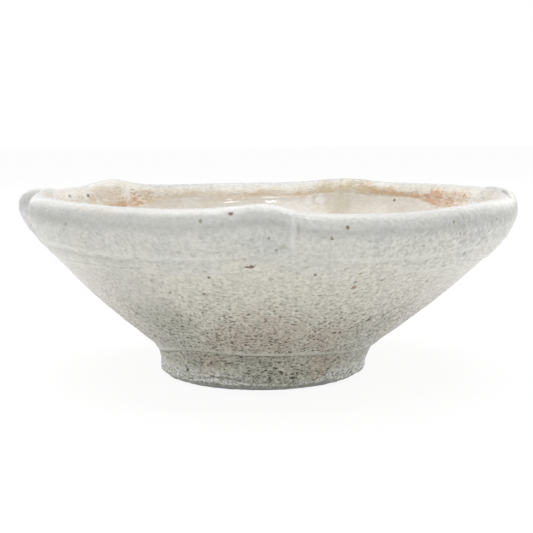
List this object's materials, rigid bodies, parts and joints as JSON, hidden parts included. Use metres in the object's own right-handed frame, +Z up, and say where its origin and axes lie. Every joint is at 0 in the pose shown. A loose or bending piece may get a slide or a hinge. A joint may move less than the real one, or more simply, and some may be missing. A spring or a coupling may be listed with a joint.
{
  "type": "bowl",
  "caption": "Shallow hand-thrown stoneware bowl, its rim pinched into five petals, on a turned foot ring, glazed inside and out.",
  "frame": {"origin": "on the table, under the middle of the bowl's outline", "axes": "+Z up out of the mouth, -Y towards the front, where one pinch of the rim is"},
  "size_m": [0.1488, 0.148, 0.057],
  "materials": {
    "fired_clay": "bare stoneware, matt",
    "outer_glaze": "speckled grey-white glaze, satin",
    "inner_glaze": "cream glaze, glossy"
  },
  "bodies": {
    "root": {"clay_body": "fired_clay", "foot_ring": "fired_clay", "outer_glaze": "outer_glaze", "inner_glaze": "inner_glaze"}
  },
  "joints": []
}
